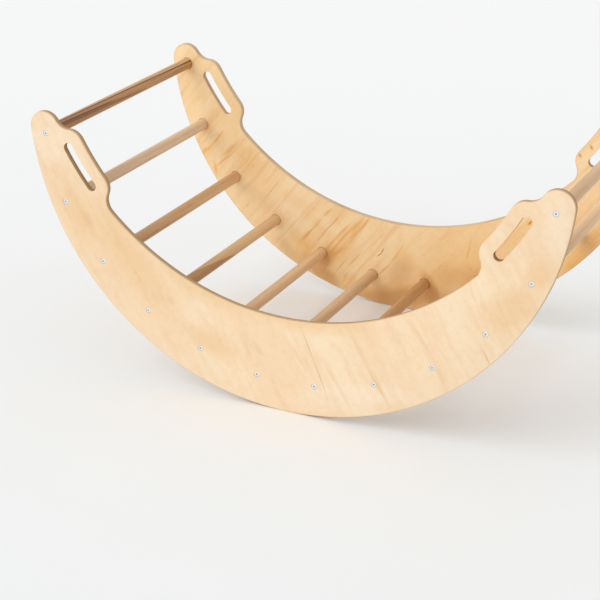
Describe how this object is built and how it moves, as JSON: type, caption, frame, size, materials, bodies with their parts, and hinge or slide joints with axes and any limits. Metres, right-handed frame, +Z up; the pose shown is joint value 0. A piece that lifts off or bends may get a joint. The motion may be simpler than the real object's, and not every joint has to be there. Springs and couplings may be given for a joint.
{
  "type": "climbing arch rocker",
  "caption": "Crescent climbing arch and rocker: curved plywood side panels with hand grips, joined by round wooden rungs.",
  "frame": {"origin": "floor point under the middle of the rocker, midway between the side panels", "axes": "+X along the rocker from the left horn to the right horn, +Y across it along the rungs towards the far panel, +Z up"},
  "size_m": [1.1406, 0.588, 0.5532],
  "materials": {
    "birch_panel": "pale birch plywood, clear satin varnish",
    "golden_birch_panel": "golden birch plywood with streaks, clear satin varnish",
    "beech_rung": "steamed beech dowel, clear satin varnish",
    "dark_beech_rung": "dark heartwood beech dowel, clear satin varnish",
    "zinc_screw": "bright zinc plate"
  },
  "bodies": {
    "root": {"side_panel_front": "birch_panel", "side_panel_back": "golden_birch_panel", "rung_01": "dark_beech_rung", "rung_02": "beech_rung", "rung_03": "beech_rung", "rung_04": "beech_rung", "rung_05": "beech_rung", "rung_06": "beech_rung", "rung_07": "beech_rung", "rung_08": "beech_rung", "rung_09": "beech_rung", "rung_10": "beech_rung", "rung_11": "beech_rung", "rung_12": "beech_rung", "screw_front_01": "zinc_screw", "screw_front_02": "zinc_screw", "screw_front_03": "zinc_screw", "screw_front_04": "zinc_screw", "screw_front_05": "zinc_screw", "screw_front_06": "zinc_screw", "screw_front_07": "zinc_screw", "screw_front_08": "zinc_screw", "screw_front_09": "zinc_screw", "screw_front_10": "zinc_screw", "screw_front_11": "zinc_screw", "screw_front_12": "zinc_screw", "screw_back_01": "zinc_screw", "screw_back_02": "zinc_screw", "screw_back_03": "zinc_screw", "screw_back_04": "zinc_screw", "screw_back_05": "zinc_screw", "screw_back_06": "zinc_screw", "screw_back_07": "zinc_screw", "screw_back_08": "zinc_screw", "screw_back_09": "zinc_screw", "screw_back_10": "zinc_screw", "screw_back_11": "zinc_screw", "screw_back_12": "zinc_screw"}
  },
  "joints": []
}
